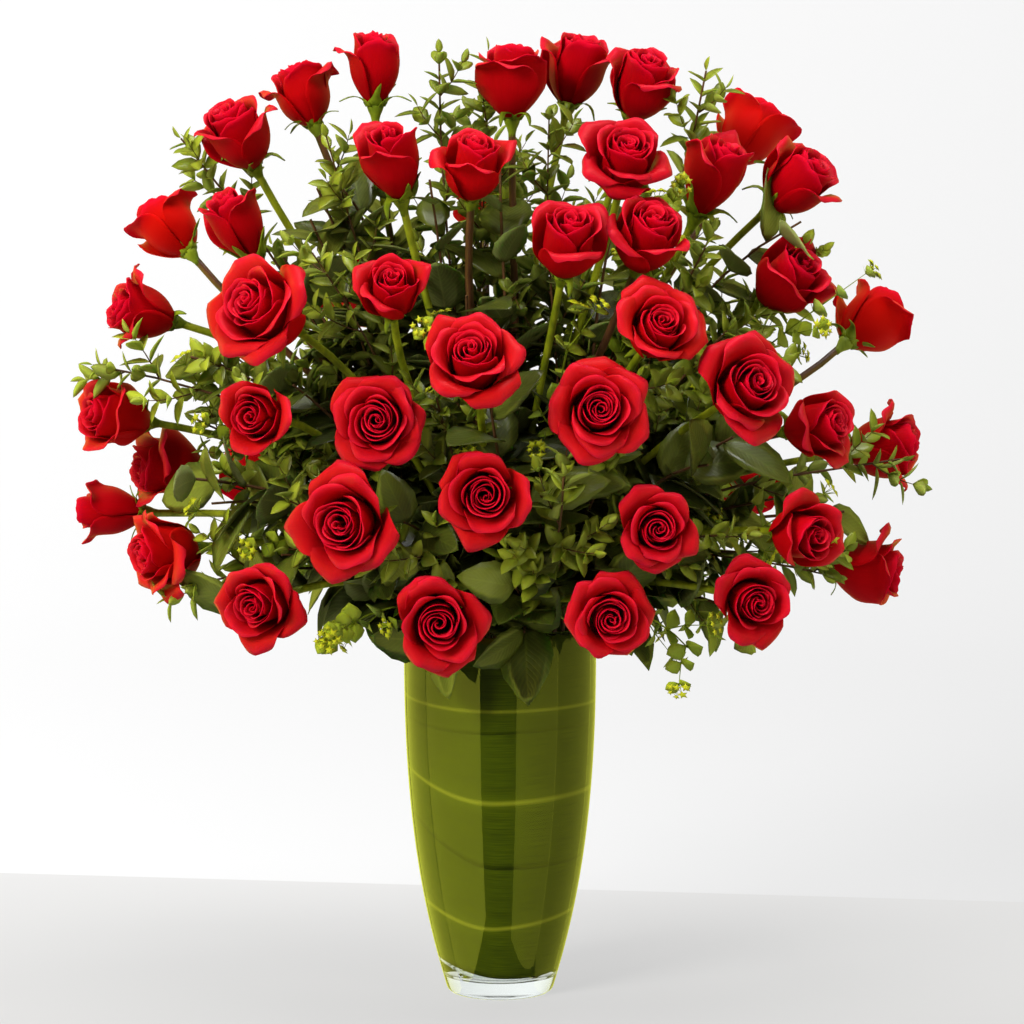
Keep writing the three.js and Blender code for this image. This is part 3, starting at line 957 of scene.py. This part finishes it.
def leaf_finish(name, dark, light, fresh, rough, gloss, vein_share):
    """Leaf skin: side veins from a pale midrib, darker or lighter by leaf and by painted shade deep in
    the crown, fresh green when young.
    """
    material, tree, shader = new_material(name)
    chart = put(tree, "UVMap", uv_map="UVMap").outputs["UV"]
    where = put(tree, "TexCoord").outputs["Object"]
    skin = put(tree, "Group", {"Chart": chart, "Place": where}, node_tree=leaf_skin).outputs
    veins, rib, mottle = skin["Veins"], skin["Rib"], skin["Mottle"]
    shade = put(tree, "Attribute", attribute_name="shade").outputs["Fac"]
    young = put(tree, "Attribute", attribute_name="young").outputs["Fac"]
    # the shade mark holds random tone by leaf and painted shade deep in the crown
    tone = sums(tree, "MULTIPLY_ADD", mottle, 0.5, sums(tree, "MULTIPLY", shade, 0.75))
    green = blended(tree, sums(tree, "SUBTRACT", tone, 0.15), dark, light)
    green = blended(tree, young, green, fresh)
    lines = sums(tree, "MAXIMUM", sums(tree, "MULTIPLY", sums(tree, "SUBTRACT", 1, veins), 0.8), rib)
    green = blended(tree, sums(tree, "MULTIPLY", lines, vein_share), green, fresh)
    feed(tree, shader, {
        "Base Color": green,
        "Roughness": sums(tree, "MULTIPLY_ADD", mottle, 0.25, rough),
        "Specular IOR Level": gloss,
        "Subsurface Weight": 0.08,
        "Subsurface Radius": (0.3, 1.0, 0.1),
        "Subsurface Scale": 0.002,
        "Normal": bumped(tree, veins, 0.3, 0.0005),
    })
    return material


broad_upper = leaf_finish(
    "broad_leaf_upper",
    dark=(0.005, 0.010, 0.0014),
    light=(0.095, 0.115, 0.014),
    fresh=(0.22, 0.25, 0.022),
    rough=0.25,
    gloss=0.7,
    vein_share=0.2,
)
broad_under = leaf_finish(
    "broad_leaf_under", (0.080, 0.095, 0.022), (0.24, 0.25, 0.085), (0.32, 0.35, 0.09), 0.5, 0.25, 0.35
)
leaflet_form = leaf_shape(0.050, 0.0165, 0.82, 0.22, 0.16, 0.002)
rose_leaflet = cut_leaf("rose_leaflet", 4, 6, leaflet_form, 0.0005, broad_upper, broad_under)


def rose_foliage(place, along, up, chance):
    """One leaf of a rose: three leaflets on a thin stalk."""
    along = along.normalized()
    tip = place + along * 0.028
    side = along.cross(up).normalized()
    knots = [(place, place - along * 0.004, place + along * 0.008, 1.0)]
    knots.append((tip, tip - along * 0.008, tip + along * 0.004, 0.8))
    stalk = draw_stem("stalk", knots, 0.0008, 2, 0)
    bpy.ops.object.convert(target="MESH")
    stalk.data.materials.append(calyx_green)
    parts = [stalk]
    shade = chance.uniform(0, 1)
    for spread, back, size in ((0, 0, 1.0), (1, 0.35, 0.82), (-1, 0.35, 0.82)):
        grow = along + side * spread * 1.3 + Vector((0, 0, chance.uniform(-0.35, 0.1)))
        face = up + side * chance.uniform(-0.4, 0.4)
        size *= chance.uniform(0.85, 1.15)
        parts.append(lay_leaf(rose_leaflet, tip - along * 0.028 * back, grow, face, size, 0, shade))
    return parts


petal_blank = make_blank("petal_blank", 14, 13, ("age", "warm"))
petal_blank.hide_render = True
sepal_blank = make_blank("sepal_blank", 2, 7, ("age", "warm"))
sepal_blank.hide_render = True


def rose_head(kind, warm, chance):
    """The petals and sepals of one flower, its foot at the origin and its mouth up."""
    bloom = blooms[kind]
    petals = []
    start = chance.uniform(0, 6.28)
    widest = chance.uniform(0, 6.28)
    for index in range(bloom["count"]):
        age = index / (bloom["count"] - 1)
        turn = start + index * golden_turn + chance.uniform(-0.42, 0.42)
        opening = 1 + 0.4 * math.cos(turn - widest)
        shape = petal_shape(bloom, age, opening, chance)
        petal = shaped_copy(petal_blank, shape, age=age, warm=warm)
        petal.data.transform(Matrix.Rotation(turn, 4, "Z"))
        petal.data.materials.append(petal_face)
        petal.data.materials.append(petal_back)
        petals.append(petal)
    flower = joined(petals, "flower")
    flower.modifiers.new("thickness", "SOLIDIFY")
    flower.modifiers[0].thickness = 0.00045
    flower.modifiers[0].offset = 0
    flower.modifiers[0].material_offset = 1
    bpy.ops.object.modifier_apply(modifier="thickness")
    sepals = []
    for index in range(5):
        lean = math.radians(chance.choice((-8, -4, 35, 80, 120)))
        reach = chance.uniform(0.020, 0.030)
        sepal = shaped_copy(sepal_blank, sepal_shape(reach, lean, chance.uniform(-0.006, 0.006)))
        sepal.data.transform(Matrix.Rotation(start + index * 2 * math.pi / 5, 4, "Z"))
        sepal.data.materials.append(calyx_green)
        sepals.append(sepal)
    calyx = joined(sepals, "calyx")
    calyx.modifiers.new("thickness", "SOLIDIFY")
    calyx.modifiers[0].thickness = 0.0006
    bpy.ops.object.modifier_apply(modifier="thickness")
    swelling = [(0.0029, -0.014), (0.0031, -0.011), (0.0040, -0.0075)]
    swelling += [(0.0056, -0.004), (0.0066, -0.001), (0.0060, 0.0018)]
    hip = draw_rings("hip", swelling, 14)
    hip.data.materials.append(calyx_green)
    return [flower, calyx, hip]


stems = []
for bloom, across, forward, up, bearing, rise, dark, warm, size in roses:
    look = heading(bearing, rise)
    end = crown_place(across, forward, up) - look * blooms[bloom]["length"] / 2
    stems.append(dict(bloom=bloom, end=end, look=look, dark=dark, warm=warm, size=size))

# The sprigs that stand among the roses: kind, across, forward, up, bearing and rise of the tip.
standing_sprigs = [
    ("myrtle", 0.51, 0.06, 0.98, 25, 74),
    ("myrtle", -1.0, 0.25, 0.28, -85, 10),
    ("myrtle", 0.98, 0.35, 0.06, 80, 10),
    ("myrtle", -0.15, 0.1, 1.02, 0, 88),
    ("broad", -0.46, -0.4, 0.66, -60, 50),
    ("broad", -0.78, 0.42, 0.02, -80, 5),
    ("broad", 0.86, 0.1, -0.08, 80, 5),
    ("broad", 0.4, -0.6, 0.6, 150, 45),
]


def placed(kind, across, forward, up, bearing, rise):
    """A sprig, where it ends and which way its tip grows."""
    return dict(kind=kind, end=crown_place(across, forward, up), look=heading(bearing, rise))


def side_way(grow, turn):
    """The direction square to a stem at a turn round it."""
    return Matrix.Rotation(turn, 3, grow) @ grow.orthogonal().normalized()


sprigs = [placed(*row) for row in standing_sprigs]
stand_stems(stems + sprigs, (8, 13, 17, 18))

for number, stem in enumerate(stems, 1):
    chance = random.Random(100 + number)
    stalk = draw_stem("stalk", stem_knots(stem, 1.05), stem_radius, 12, 2)
    bpy.ops.object.convert(target="MESH")
    stalk.data.materials.append(stem_dark if stem["dark"] else stem_green)
    head = rose_head(stem["bloom"], stem["warm"], chance)
    face = Vector((0, 0, 1)).rotation_difference(stem["look"]).to_matrix().to_4x4()
    for part in head:
        part.data.transform(Matrix.Translation(stem["end"]) @ face @ Matrix.Scale(stem["size"], 4))
    leaves = []
    course = interpolate_bezier(*stem["bend"], 41)
    length = (stem["end"] - stem["mouth"]).length
    turn = chance.uniform(0, 6.28)
    for share in (0.14, 0.28, 0.42, 0.56):
        if (1 - share) * length < 0.085:
            continue
        index = int(share * 40)
        grow = (course[index + 1] - course[index]).normalized()
        turn += golden_turn
        out = grow * 0.6 + side_way(grow, turn)
        leaves += rose_foliage(course[index], out, grow + Vector((0, 0, 0.5)), chance)
    rose = joined([stalk] + head + leaves, f"cut_rose_{number:02d}")
    bpy.ops.object.shade_smooth()
    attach(rose, "root")
    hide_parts(f"rose_{number:02d}")


# ------------------------------------------------------------------ the myrtle
# Sprigs with small glossy leaves in pairs on red-brown twigs, fresh lime at their tips. They fill
# the crown between the roses, standing in a last ring against the lining.

twig_brown = green_finish("twig_brown", (0.05, 0.022, 0.010), (0.13, 0.055, 0.022), 0.5, 0.3)
myrtle_upper = leaf_finish(
    "myrtle_upper",
    dark=(0.011, 0.020, 0.0014),
    light=(0.160, 0.190, 0.0110),
    fresh=(0.42, 0.48, 0.030),
    rough=0.25,
    gloss=0.7,
    vein_share=0.2,
)
myrtle_under = leaf_finish(
    "myrtle_under", (0.08, 0.10, 0.015), (0.22, 0.25, 0.045), (0.38, 0.44, 0.04), 0.45, 0.25, 0.2
)
myrtle_form = leaf_shape(0.0225, 0.0056, 0.9, 0.35, 0.12, 0.0)
myrtle_leaf = cut_leaf("myrtle_leaf", 2, 5, myrtle_form, 0.0004, myrtle_upper, myrtle_under)


def add_twig(branches, points, thick):
    """One more branch in a sprig's curve, thinning to its tip."""
    line = branches.data.splines.new("POLY")
    line.points.add(len(points) - 1)
    for index, (knot, place) in enumerate(zip(line.points, points)):
        knot.co = (*place, 1)
        knot.radius = thick * (1 - 0.6 * index / (len(points) - 1))


def leafy_twig(leaf, points, spacing, size, young, shade, chance):
    """Pairs of leaves up a twig, each pair crossing the last, and one at its tip."""
    leaves = []
    turn = chance.uniform(0, 3.14)
    walked = 0.4 * spacing
    total = sum((b - a).length for a, b in zip(points, points[1:]))
    run = 0.0
    for a, b in zip(points, points[1:]):
        leg = (b - a).length
        grow = (b - a) / leg
        while walked < run + leg:
            place = a + grow * (walked - run)
            share = walked / total
            turn += math.pi / 2 + chance.uniform(-0.3, 0.3)
            side = side_way(grow, turn)
            near_tip = size * (1.15 - 0.3 * share) * chance.uniform(0.85, 1.15)
            fresh = min(1, young * (0.3 + share))
            for way in (side, -side):
                along = grow * chance.uniform(0.5, 1.0) + way
                leaves.append(lay_leaf(leaf, place, along, grow - way * 0.4, near_tip, fresh, shade))
            walked += spacing
        run += leg
    grow = (points[-1] - points[-2]).normalized()
    leaves.append(lay_leaf(leaf, points[-1], grow, side_way(grow, turn), size * 0.6, young, shade))
    return leaves


def shoots(stem, chance, start, finish, spacing, fewest):
    """The shoots up a stem: each one's share of its length, place, growing way and turn round it."""
    course = stem["course"] = interpolate_bezier(*stem["bend"], 61)
    length = sum((b - a).length for a, b in zip(course, course[1:]))
    count = max(fewest, int((1 - start) * length / spacing))
    turn = chance.uniform(0, 6.28)
    for step in range(count):
        share = start + (finish - start) * step / (count - 1)
        index = int(share * 59)
        turn += golden_turn
        yield share, course[index], (course[index + 1] - course[index]).normalized(), turn


def grow_myrtle(stem, name, chance, young):
    """A myrtle sprig along a stem: side twigs with small leaves, shorter towards the tip."""
    branches = draw_stem(name, stem_knots(stem, 0.5), 0.0016, 8, 0)
    leaves = []
    shade = chance.uniform(0.1, 0.9)
    for share, place, grow, turn in shoots(stem, chance, 0.2, 0.96, 0.026, 4):
        side = side_way(grow, turn)
        reach = (0.085 - 0.05 * share) * chance.uniform(0.75, 1.25)
        heading_out = (grow * 0.75 + side).normalized()
        points = [place]
        for _ in range(4):
            heading_out = (heading_out + grow * 0.12 + Vector((0, 0, 0.06))).normalized()
            points.append(points[-1] + heading_out * reach / 4)
        add_twig(branches, points, 0.45)
        leaves += leafy_twig(myrtle_leaf, points, 0.0105, 1.0, young, shade, chance)
    leaves += leafy_twig(myrtle_leaf, stem["course"][-10:], 0.012, 0.9, young, shade, chance)
    pick(branches)
    bpy.ops.object.convert(target="MESH")
    branches.data.materials.append(twig_brown)
    sprig = joined([branches] + leaves, name)
    bpy.ops.object.shade_smooth()
    return sprig


def stand_at_edge(stem, index, count):
    """Stands a shorter extra sprig against the lining, in one of two rings outside the roses."""
    angle = 2 * math.pi * (index + 0.5) / count - math.pi
    x, y = math.cos(angle), math.sin(angle)
    on_floor, at_mouth = ((0.046, 0.0666), (0.052, 0.0705))[index % 2]
    stem["cut"] = Vector((on_floor * x, on_floor * y, 0.086 + 0.004 * (index % 5)))
    stem["mouth"] = Vector((at_mouth * x, at_mouth * y, vase_height - 0.004))


extra_sprigs = [
    ("myrtle", -0.03, -0.1, 1.03, 0, 88),
    ("myrtle", 0.15, 0.95, 0.05, 0, 75),
    ("myrtle", -0.80, -0.1, 0.82, -70, 50),
    ("myrtle", -0.42, 0.35, 0.82, -25, 60),
    ("myrtle", 0.12, 0.3, 0.86, 10, 75),
    ("myrtle", 0.50, 0.35, 0.56, 30, 45),
    ("myrtle", 0.80, 0.1, 0.55, 60, 35),
    ("myrtle", -0.72, 0.2, 0.30, -60, 30),
    ("myrtle", -0.45, 0.5, 0.55, -40, 45),
    ("myrtle", -0.15, 0.7, 0.22, -10, 45),
    ("myrtle", 0.30, 0.7, 0.12, 15, 30),
    ("myrtle", 0.70, 0.45, 0.30, 45, 25),
    ("myrtle", -0.50, 0.70, -0.02, -30, 20),
    ("myrtle", -0.20, 0.85, -0.14, -10, 5),
    ("myrtle", 0.15, 0.85, -0.12, 5, 0),
    ("myrtle", 0.52, 0.70, -0.10, 25, 5),
    ("myrtle", 0.82, 0.35, -0.22, 65, -10),
    ("myrtle", -0.75, 0.35, -0.24, -60, -10),
    ("myrtle", 0.05, -0.3, 0.80, 170, 70),
    ("myrtle", -0.50, -0.65, 0.30, -140, 30),
    ("myrtle", 0.50, -0.65, 0.25, 140, 30),
    ("myrtle", 0.0, -0.9, 0.15, 180, 20),
    ("myrtle", -0.35, -0.8, -0.12, -150, 5),
    ("myrtle", 0.35, -0.85, -0.15, 150, 0),
    ("broad", -0.45, 0.15, 0.70, -40, 55),
    ("broad", -0.08, 0.45, 0.45, 0, 60),
    ("broad", 0.28, 0.30, 0.62, 20, 55),
    ("broad", -0.50, 0.45, 0.24, -40, 30),
    ("broad", 0.10, 0.75, 0.00, 0, 30),
    ("broad", 0.55, 0.40, 0.10, 40, 20),
    ("broad", -0.30, 0.65, -0.18, -20, -5),
    ("broad", 0.30, 0.70, -0.24, 15, -10),
    ("broad", -0.65, 0.40, -0.30, -45, -20),
    ("broad", 0.62, 0.45, -0.32, 40, -20),
    ("broad", 0.0, -0.6, 0.45, 180, 40),
    ("broad", -0.6, -0.5, 0.10, -120, 10),
    ("broad", 0.6, -0.5, 0.05, 120, 10),
    ("broad", 0.05, -0.8, -0.22, 180, -10),
    ("broad", -0.42, 0.25, 0.74, -40, 35),
    ("broad", -0.76, 0.25, 0.30, -75, 15),
    ("broad", -0.70, 0.45, -0.04, -60, -5),
    ("broad", -0.02, 0.78, 0.20, -10, 55),
    ("broad", 0.50, 0.62, 0.06, 40, 5),
    ("broad", 0.74, 0.20, 0.62, 60, 25),
    ("broad", -0.16, 0.50, -0.36, -10, -45),
    ("broad", 0.06, 0.52, -0.34, 5, -40),
    ("umbel", -0.72, 0.2, 0.18, -60, 25),
    ("umbel", 0.42, 0.3, 0.66, 35, 50),
    ("umbel", 0.78, 0.3, 0.42, 55, 35),
    ("umbel", -0.12, 0.75, 0.36, -5, 45),
    ("umbel", 0.16, 0.80, 0.34, 10, 40),
    ("umbel", -0.40, 0.70, -0.34, -25, -25),
    ("umbel", 0.45, 0.72, -0.36, 25, -25),
    ("umbel", 0.74, 0.45, -0.10, 55, 0),
    ("umbel", -0.62, 0.45, -0.12, -50, 0),
    ("umbel", 0.3, -0.7, 0.30, 150, 30),
    ("umbel", -0.3, -0.75, 0.20, -150, 25),
]
# Fillers spread evenly over the crown, a little inside the flowers and thinner near its top.
filler_count = 60
for index in range(filler_count):
    up = 0.98 - 1.34 * (index + 0.5) / filler_count
    if up > 0.35 and index % 5 in (1, 3):
        continue
    level = (0.77, 0.62, 0.71)[index // 3 % 3] * math.sqrt(1 - up * up)
    bearing = math.degrees(index * 2.39996) % 360
    across = level * math.sin(math.radians(bearing))
    forward = level * math.cos(math.radians(bearing))
    kind = ("broad", "myrtle", "broad", "myrtle", "myrtle")[index % 5]
    rise = math.degrees(math.asin(up)) + 15
    extra_sprigs.append((kind, across, forward, 0.84 * up, bearing, rise))

extras = [placed(*row) for row in extra_sprigs]
by_bearing = sorted(extras, key=lambda stem: math.atan2(stem["end"].y, stem["end"].x))
for index, stem in enumerate(by_bearing):
    stand_at_edge(stem, index, len(by_bearing))


def finish_sprig(sprig, node):
    """Fixes a sprig in the vase, in the place of its CAD node if it has one."""
    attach(sprig, "root")
    if node:
        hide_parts(node)


def sprigs_of(kind):
    """Each sprig of a kind with its number and the CAD node that it stands for, if any."""
    ours = [stem for stem in sprigs if stem["kind"] == kind]
    more = [stem for stem in extras if stem["kind"] == kind]
    for number, stem in enumerate(ours + more, 1):
        node = f"{kind}_sprig_{number}" if number <= len(ours) else None
        yield number, stem, node


for number, stem, node in sprigs_of("myrtle"):
    chance = random.Random(300 + number)
    fresh = chance.uniform(0.15, 0.75)
    sprig = grow_myrtle(stem, f"myrtle_{number:02d}", chance, fresh)
    finish_sprig(sprig, node)


# ------------------------------------------------------------------ the broad-leaved stems
# Woody stems with large leathery leaves, dark and glossy above and sage below. They make the dark middle
# of the crown, where painted shade darkens them further, and the lowest hang over the rim of the vase.

salal_form = leaf_shape(0.068, 0.0215, 0.78, 0.16, 0.18, 0.004)
salal_leaf = cut_leaf("salal_leaf", 4, 9, salal_form, 0.0006, broad_upper, broad_under)


def grow_broad(stem, name, chance):
    """A salal stem with one large leaf after another up to its tip."""
    branch = draw_stem(name, stem_knots(stem, 0.6), 0.0018, 10, 0)
    bpy.ops.object.convert(target="MESH")
    branch.data.materials.append(twig_brown)
    leaves = []
    for share, place, grow, turn in shoots(stem, chance, 0.14, 0.98, 0.017, 5):
        along = grow * chance.uniform(0.5, 1.1) + side_way(grow, turn)
        face = grow + Vector((0, -0.4, 0.6)) * chance.uniform(-0.3, 1.0)
        size = chance.uniform(0.7, 1.2) * (1 - 0.2 * share)
        young = 0.5 * chance.random() ** 3
        leaves.append(lay_leaf(salal_leaf, place, along, face, size, young, chance.random()))
    sprig = joined([branch] + leaves, name)
    bpy.ops.object.shade_smooth()
    return sprig


for number, stem, node in sprigs_of("broad"):
    chance = random.Random(500 + number)
    finish_sprig(grow_broad(stem, f"salal_{number:02d}", chance), node)


# ------------------------------------------------------------------ the umbel stems
# Lime-green filler with round leaves that the stem grows through and flat heads of tiny starry
# flowers, each on its own thin stalk.

round_upper = leaf_finish(
    "round_leaf_upper", (0.10, 0.15, 0.006), (0.22, 0.29, 0.012), (0.36, 0.42, 0.02), 0.4, 0.4, 0.2
)
round_under = leaf_finish(
    "round_leaf_under", (0.12, 0.17, 0.03), (0.24, 0.30, 0.05), (0.34, 0.40, 0.05), 0.5, 0.3, 0.2
)
round_form = leaf_shape(0.017, 0.0085, 1.0, 0.25, 0.05, 0.0)
round_leaf = cut_leaf("round_leaf", 2, 4, round_form, 0.0004, round_upper, round_under)
star_yellow = leaf_finish(
    "star_yellow", (0.26, 0.30, 0.008), (0.46, 0.48, 0.012), (0.55, 0.55, 0.02), 0.5, 0.3, 0.1
)
bpy.ops.mesh.primitive_cone_add(vertices=10, radius1=0.0042, radius2=0, depth=0.002)
star = bpy.context.object
star.name = "star_flower"
for index, corner in enumerate(star.data.vertices):
    if index % 2 and index < 10:
        corner.co.x *= 0.45
        corner.co.y *= 0.45
for mark in ("young", "shade"):
    star.data.attributes.new(mark, "FLOAT", "POINT")
star.data.materials.append(star_yellow)
star.hide_render = True


def grow_umbel(stem, name, chance):
    """An umbel stem: side shoots with round leaves that end in six starry flowers."""
    branches = draw_stem(name, stem_knots(stem, 0.5), 0.0013, 8, 0)
    leaves = []
    for _, foot, grow, turn in shoots(stem, chance, 0.35, 1, 0.022, 5):
        out = (grow + side_way(grow, turn) * 0.8).normalized()
        reach = chance.uniform(0.025, 0.050)
        points = [foot, foot + out * reach * 0.5, foot + out * reach + grow * 0.006]
        add_twig(branches, points, 0.5)
        for place, size in zip(points, (1.0, 0.8, 0.7)):
            for way in (0, math.pi):
                along = side_way(out, turn + way) + out * 0.4
                young = chance.uniform(0.2, 0.8)
                leaves.append(lay_leaf(round_leaf, place, along, out, size, young, chance.random()))
        for ray in range(6):
            spread = side_way(out, turn + ray * 1.05) * chance.uniform(0.4, 1.0)
            tip = points[2] + (out + spread).normalized() * 0.011
            add_twig(branches, [points[2], tip], 0.3)
            face, size = out + spread * 0.4, chance.uniform(0.7, 1.2)
            leaves.append(lay_leaf(star, tip, spread, face, size, 0.5, 0.5))
    pick(branches)
    bpy.ops.object.convert(target="MESH")
    branches.data.materials.append(calyx_green)
    sprig = joined([branches] + leaves, name)
    bpy.ops.object.shade_smooth()
    return sprig


for number, stem, node in sprigs_of("umbel"):
    chance = random.Random(700 + number)
    finish_sprig(grow_umbel(stem, f"umbel_{number:02d}", chance), node)

for pattern in (petal_blank, sepal_blank, rose_leaflet, myrtle_leaf, salal_leaf, round_leaf, star):
    bpy.data.objects.remove(pattern)
